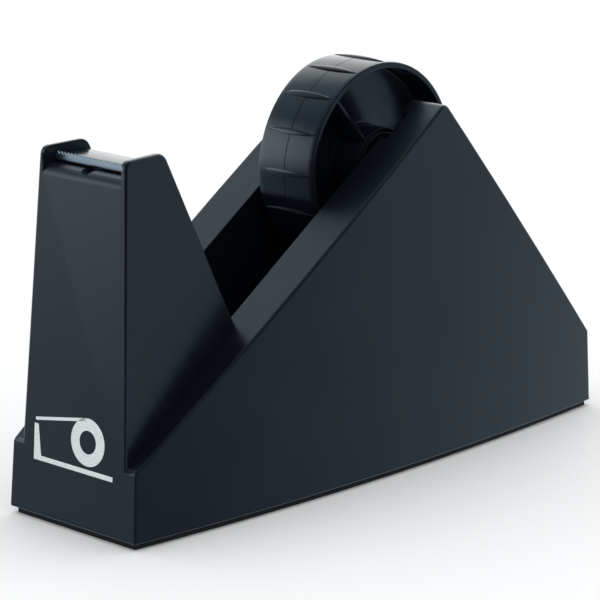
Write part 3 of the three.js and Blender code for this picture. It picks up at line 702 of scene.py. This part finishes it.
RING_SEGMENTS = 192
RING_RADIUS = 37.5 * MM
RING_CROWN = 0.35 * MM           # how much smaller in radius the rims are than the middle
RING_WALL = 2.1 * MM
RING_HALF = 12.83 * MM
WEB_HALF = 0.9 * MM
SLEEVE_INNER = 12.5 * MM
SLEEVE_OUTER = 13.8 * MM
FLASH_HALF = 0.16 * MM
FLASH_DEPTH = 0.12 * MM
CROWN_STEPS = 6
RIB_COUNT = 16
RIB_PHASE = 88.0                 # degrees from +x towards +z, as in the frame
RIB_HALF_LENGTH = 11.8 * MM
RIB_HALF_WIDTH = 1.25 * MM
RIB_HEIGHT = 0.7 * MM
RIB_STEPS = 14
RIB_TIP_SHARE = 0.12             # width and height left at a rib's ends
RIB_SHOULDER_SHARE = 0.25        # how far below its crest a rib's rounded shoulder lies
WALL_COUNT = 3
WALL_PHASE = 132.0
WALL_HALF_THICK = 0.6 * MM
WALL_SETBACK = 0.15 * MM         # the walls stop this much short of the ring's rims
WALL_EDGE_RADIUS = 0.2 * MM
RIM_INNER_ROUND = 0.35 * MM
RIM_OUTER_ROUND = 0.45 * MM
WEB_FILLET = 1.0 * MM
SLEEVE_FILLET = 0.8 * MM
SLEEVE_ROUND = 0.3 * MM
HUB_SHARP_ANGLE = math.radians(32)
HUB_BLACK = "#070c13"
HUB_GREY = "#0a1018"
SINK_SIZE = 7 * MM
SINK_DEPTH = 0.1 * MM
RUB_SIZE = 2.5 * MM


def moulded_gloss(name):
    """Black styrene moulded against a polished tool: sharp, slightly wavy reflections."""
    made, tree, shader = start_material(name)
    place = add_node(tree, "ShaderNodeTexCoord")
    sinks = add_node(tree, "ShaderNodeTexNoise", {"Scale": 1 / SINK_SIZE, "Detail": 1.5},
                     {"Vector": place.outputs["Object"]})
    rubs = add_node(tree, "ShaderNodeTexNoise", {"Scale": 1 / RUB_SIZE, "Detail": 5.0,
                                                 "Roughness": 0.7},
                    {"Vector": place.outputs["Object"]})
    shades = add_node(tree, "ShaderNodeValToRGB", links={"Fac": sinks.outputs["Fac"]})
    set_ramp(shades.color_ramp, [(0.3, HUB_BLACK), (0.7, HUB_GREY)])
    gloss = add_node(tree, "ShaderNodeMapRange", {"From Min": 0.3, "From Max": 0.75,
                                                  "To Min": 0.14, "To Max": 0.27},
                     {"Value": rubs.outputs["Fac"]})
    relief = add_node(tree, "ShaderNodeBump", {"Strength": 0.25, "Distance": SINK_DEPTH},
                      {"Height": sinks.outputs["Fac"]})
    tree.links.new(shades.outputs["Color"], shader.inputs["Base Color"])
    tree.links.new(gloss.outputs["Result"], shader.inputs["Roughness"])
    tree.links.new(relief.outputs["Normal"], shader.inputs["Normal"])
    shader.inputs["IOR"].default_value = 1.5
    return made


def rounded_outline(corners, steps=4):
    """A closed outline from corners of (a, b, radius), its rounded corners drawn as arcs."""
    points = []
    for i, (a, b, radius) in enumerate(corners):
        here = Vector((a, b))
        if radius == 0.0:
            points.append((a, b))
            continue
        back = (Vector(corners[i - 1][:2]) - here).normalized()
        ahead = (Vector(corners[(i + 1) % len(corners)][:2]) - here).normalized()
        half = back.angle(ahead) / 2
        centre = here + (back + ahead).normalized() * radius / math.sin(half)
        start = here + back * radius / math.tan(half) - centre
        end = here + ahead * radius / math.tan(half) - centre
        first = math.atan2(start.y, start.x)
        sweep = math.remainder(math.atan2(end.y, end.x) - first, 2 * math.pi)
        for step in range(steps + 1):
            turn = first + sweep * step / steps
            points.append((centre.x + radius * math.cos(turn), centre.y + radius * math.sin(turn)))
    return points


def ring_surface(y):
    """Outer radius of the crowned ring at a distance y from its middle plane."""
    return RING_RADIUS - RING_CROWN * (y / RING_HALF) ** 2


def on_hub_axis(x, radius, y):
    """A point of the hub: x sideways and radius outwards from its axis, y along it."""
    return Vector((x, y, radius))


def grip_rib(bm, angle):
    """One pointed rib: widest and tallest at the ring's middle plane, and rooted in its wall."""
    rings = []
    for i in range(2 * RIB_STEPS + 1):
        share = (i - RIB_STEPS) / RIB_STEPS
        y = RIB_HALF_LENGTH * share
        swell = max(0.0, 1 - share * share) ** 0.8
        fullness = RIB_TIP_SHARE + (1 - RIB_TIP_SHARE) * swell
        half = RIB_HALF_WIDTH * fullness
        crest = ring_surface(y) + RIB_HEIGHT * fullness
        root = ring_surface(y) - RING_WALL / 2
        shoulder = crest - RIB_SHOULDER_SHARE * RIB_HEIGHT
        section = [(-half, root), (-0.86 * half, shoulder), (-0.5 * half, crest),
                   (0.5 * half, crest), (0.86 * half, shoulder), (half, root)]
        rings.append([bm.verts.new(on_hub_axis(x, z, y)) for x, z in section])
    for low, high in zip(rings, rings[1:]):
        for i in range(len(low)):
            bm.faces.new([low[i - 1], low[i], high[i], high[i - 1]])
    bm.faces.new(rings[0])
    bm.faces.new(rings[-1])
    turn = Matrix.Rotation(math.radians(90 - angle), 4, "Y")
    bmesh.ops.transform(bm, matrix=turn, verts=[vert for ring in rings for vert in ring])


def stiffening_wall(bm, angle):
    """A thin wall across both sides of the web, from the sleeve to the ring."""
    inner = (SLEEVE_INNER + SLEEVE_OUTER) / 2
    outer = RING_RADIUS - RING_WALL / 2 - RING_CROWN
    high = RING_HALF - WALL_SETBACK
    block = bmesh.ops.create_cube(bm, size=2.0)["verts"]
    for vert in block:
        z = (inner + outer) / 2 + vert.co.z * (outer - inner) / 2
        vert.co = on_hub_axis(vert.co.x * WALL_HALF_THICK, z, vert.co.y * high)
    edges = list({edge for vert in block for edge in vert.link_edges})
    made = bmesh.ops.bevel(bm, geom=edges, offset=WALL_EDGE_RADIUS, segments=2, affect="EDGES",
                           profile=0.5)
    verts = set(made["verts"]) | {vert for vert in block if vert.is_valid}
    turn = Matrix.Rotation(math.radians(90 - angle), 4, "Y")
    bmesh.ops.transform(bm, matrix=turn, verts=list(verts))


def turn_about_hub(bm, profile, segments):
    """Turns a closed profile of (radius, y) points about the hub's axis."""
    turn_profile(bm, profile, segments)
    bmesh.ops.rotate(bm, verts=bm.verts, matrix=Matrix.Rotation(-math.pi / 2, 3, "X"))


hub_low, hub_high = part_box("hub_axle")
hub_axis = (hub_low + hub_high) / 2
hub_finish = moulded_gloss("styrene_moulded_gloss")
rim = RING_RADIUS - RING_CROWN
inner_rim = rim - RING_WALL
web_rim = RING_RADIUS - RING_WALL
crowned = []
for i in range(1, CROWN_STEPS):
    y = RING_HALF * (1 - i / CROWN_STEPS)
    crowned.append((ring_surface(y), y, 0.0))
flash = [(ring_surface(FLASH_HALF), FLASH_HALF, 0.0), (RING_RADIUS - FLASH_DEPTH, 0.0, 0.0),
         (ring_surface(FLASH_HALF), -FLASH_HALF, 0.0)]
ring_corners = [
    (inner_rim, -RING_HALF, RIM_INNER_ROUND), (web_rim, -WEB_HALF, WEB_FILLET),
    (SLEEVE_OUTER, -WEB_HALF, SLEEVE_FILLET), (SLEEVE_OUTER, -RING_HALF, SLEEVE_ROUND),
    (SLEEVE_INNER, -RING_HALF, SLEEVE_ROUND), (SLEEVE_INNER, RING_HALF, SLEEVE_ROUND),
    (SLEEVE_OUTER, RING_HALF, SLEEVE_ROUND), (SLEEVE_OUTER, WEB_HALF, SLEEVE_FILLET),
    (web_rim, WEB_HALF, WEB_FILLET), (inner_rim, RING_HALF, RIM_INNER_ROUND),
    (rim, RING_HALF, RIM_OUTER_ROUND), *crowned, *flash,
    *[(radius, -y, 0.0) for radius, y, _ in reversed(crowned)], (rim, -RING_HALF, RIM_OUTER_ROUND)]
ring_bm = bmesh.new()
turn_about_hub(ring_bm, rounded_outline(ring_corners), RING_SEGMENTS)
for i in range(RIB_COUNT):
    grip_rib(ring_bm, RIB_PHASE + 360 * i / RIB_COUNT)
for i in range(WALL_COUNT):
    stiffening_wall(ring_bm, WALL_PHASE + 360 * i / WALL_COUNT)
ring = add_object("hub_core_ring", mesh_from(ring_bm, "hub_core_ring", [hub_finish]))
ring.data.set_sharp_from_angle(angle=HUB_SHARP_ANGLE)
ring.location = hub_axis
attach(ring, "hub")
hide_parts("core_ring")


# ---- Small hub -----------------------------------------------------------------------------------
# The barrel inside the ring, which carries 26 mm cores once the ring is pulled off. One moulding:
# a thin barrel, a web and a bush that runs on the axle.

BARREL_RADIUS = 12.2 * MM
BARREL_WALL = 1.6 * MM
BUSH_RADIUS = 5.2 * MM
BORE_RADIUS = 3.06 * MM
BORE_ROUND = 0.2 * MM
BUSH_ROUND = 0.3 * MM
BUSH_FILLET = 0.8 * MM
BARREL_ROUND = 0.5 * MM
BARREL_SEGMENTS = 96

barrel_inner = BARREL_RADIUS - BARREL_WALL
barrel_corners = [
    (BORE_RADIUS, -RING_HALF, BORE_ROUND), (BUSH_RADIUS, -RING_HALF, BUSH_ROUND),
    (BUSH_RADIUS, -WEB_HALF, BUSH_FILLET), (barrel_inner, -WEB_HALF, BUSH_FILLET),
    (barrel_inner, -RING_HALF, BUSH_ROUND), (BARREL_RADIUS, -RING_HALF, BARREL_ROUND),
    (BARREL_RADIUS, RING_HALF, BARREL_ROUND), (barrel_inner, RING_HALF, BUSH_ROUND),
    (barrel_inner, WEB_HALF, BUSH_FILLET), (BUSH_RADIUS, WEB_HALF, BUSH_FILLET),
    (BUSH_RADIUS, RING_HALF, BUSH_ROUND), (BORE_RADIUS, RING_HALF, BORE_ROUND)]
barrel_bm = bmesh.new()
turn_about_hub(barrel_bm, rounded_outline(barrel_corners), BARREL_SEGMENTS)
barrel = add_object("hub_barrel", mesh_from(barrel_bm, "hub_barrel", [hub_finish]))
barrel.data.set_sharp_from_angle(angle=HUB_SHARP_ANGLE)
barrel.location = hub_axis
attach(barrel, "hub")
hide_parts("small_hub")


# ---- Axle ----------------------------------------------------------------------------------------
# A plain zinc-plated pin with a black fibre washer on each side of the hub as a light brake. Moulded
# blocks on its ends slide down the housing's guide slots and keep the pin from turning.

PIN_RADIUS = 3.0 * MM
PIN_CHAMFER = 0.5 * MM
PIN_SEGMENTS = 64
BLOCK_HALF = 5.3 * MM
BLOCK_HEAD = 2.0 * MM
BLOCK_CORNER = 1.0 * MM
BLOCK_HOLE = 3.3 * MM
BLOCK_HOLE_DEPTH = 4.4 * MM
BLOCK_HOLE_STEPS = 32
BLOCK_EDGE_RADIUS = 0.3 * MM
WASHER_EDGE_RADIUS = 0.15 * MM
FIBRE_SIZE = 0.35 * MM
FIBRE_DEPTH = 0.03 * MM


def vulcanised_fibre():
    """Black vulcanised fibre: hard pressed paper, matt, with a faint fleck of fibres."""
    made, tree, shader = start_material("fibre_vulcanised_black")
    place = add_node(tree, "ShaderNodeTexCoord")
    flecks = add_node(tree, "ShaderNodeTexNoise", {"Scale": 1 / FIBRE_SIZE, "Detail": 4.0},
                      {"Vector": place.outputs["Object"]})
    shades = add_node(tree, "ShaderNodeValToRGB", links={"Fac": flecks.outputs["Fac"]})
    set_ramp(shades.color_ramp, [(0.35, "#141617"), (0.65, "#222526")])
    relief = add_node(tree, "ShaderNodeBump", {"Strength": 0.3, "Distance": FIBRE_DEPTH},
                      {"Height": flecks.outputs["Fac"]})
    tree.links.new(shades.outputs["Color"], shader.inputs["Base Color"])
    tree.links.new(relief.outputs["Normal"], shader.inputs["Normal"])
    shader.inputs["Roughness"].default_value = 0.8
    return made


pin_half = (hub_high.y - hub_low.y) / 2
pin_bm = bmesh.new()
turn_about_hub(pin_bm, [(0.0, -pin_half), (PIN_RADIUS - PIN_CHAMFER, -pin_half),
                        (PIN_RADIUS, PIN_CHAMFER - pin_half), (PIN_RADIUS, pin_half - PIN_CHAMFER),
                        (PIN_RADIUS - PIN_CHAMFER, pin_half), (0.0, pin_half)], PIN_SEGMENTS)
pin = add_object("hub_pin", mesh_from(pin_bm, "hub_pin", [zinc_finish]))
pin.data.set_sharp_from_angle(angle=math.radians(30))
pin.location = hub_axis
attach(pin, "axle")
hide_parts("hub_axle")

fibre_finish = vulcanised_fibre()
for node in ("drag_washer_right", "drag_washer_left"):
    keep_node(node, fibre_finish, WASHER_EDGE_RADIUS)

block_finish = moulded_polystyrene("polystyrene_moulded_plain", 0.34)
block_top = BLOCK_HALF + BLOCK_HEAD
block_outline = arc(BLOCK_HALF, 180, 360, 28)[:-1] + rounded_outline(
    [(BLOCK_HALF, 0.0, 0.0), (BLOCK_HALF, block_top, BLOCK_CORNER),
     (-BLOCK_HALF, block_top, BLOCK_CORNER)], 6)
for side, name in ((-1, "right"), (1, "left")):
    low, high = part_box(f"axle_block_{name}")
    inner_y, outer_y = (high.y, low.y) if side < 0 else (low.y, high.y)
    block_bm = bmesh.new()
    outer_loop = [block_bm.verts.new((x, outer_y, z)) for x, z in block_outline]
    inner_loop = [block_bm.verts.new((x, inner_y, z)) for x, z in block_outline]
    block_bm.faces.new(outer_loop)
    for i in range(len(outer_loop)):
        block_bm.faces.new([outer_loop[i - 1], outer_loop[i], inner_loop[i], inner_loop[i - 1]])
    mouth_points = arc(BLOCK_HOLE, 0, 360, BLOCK_HOLE_STEPS)[:-1]
    mouth = [block_bm.verts.new((x, inner_y, z)) for x, z in mouth_points]
    hole_y = inner_y + side * BLOCK_HOLE_DEPTH
    bottom = [block_bm.verts.new((x, hole_y, z)) for x, z in mouth_points]
    block_bm.faces.new(bottom)
    for i in range(len(mouth)):
        block_bm.faces.new([mouth[i - 1], mouth[i], bottom[i], bottom[i - 1]])
    rim_edges = [block_bm.edges.get((loop[i - 1], loop[i])) for loop in (inner_loop, mouth)
                 for i in range(len(loop))]
    bmesh.ops.triangle_fill(block_bm, use_beauty=True, use_dissolve=False, edges=rim_edges)
    block = add_object(f"axle_end_block_{name}",
                       mesh_from(block_bm, f"axle_end_block_{name}", [block_finish]))
    block.location = (hub_axis.x, 0.0, hub_axis.z)
    block.data.set_sharp_from_angle(angle=SHARP_ANGLE)
    round_edges(block, BLOCK_EDGE_RADIUS, 2, "ANGLE")
    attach(block, "axle")
    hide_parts(f"axle_block_{name}")
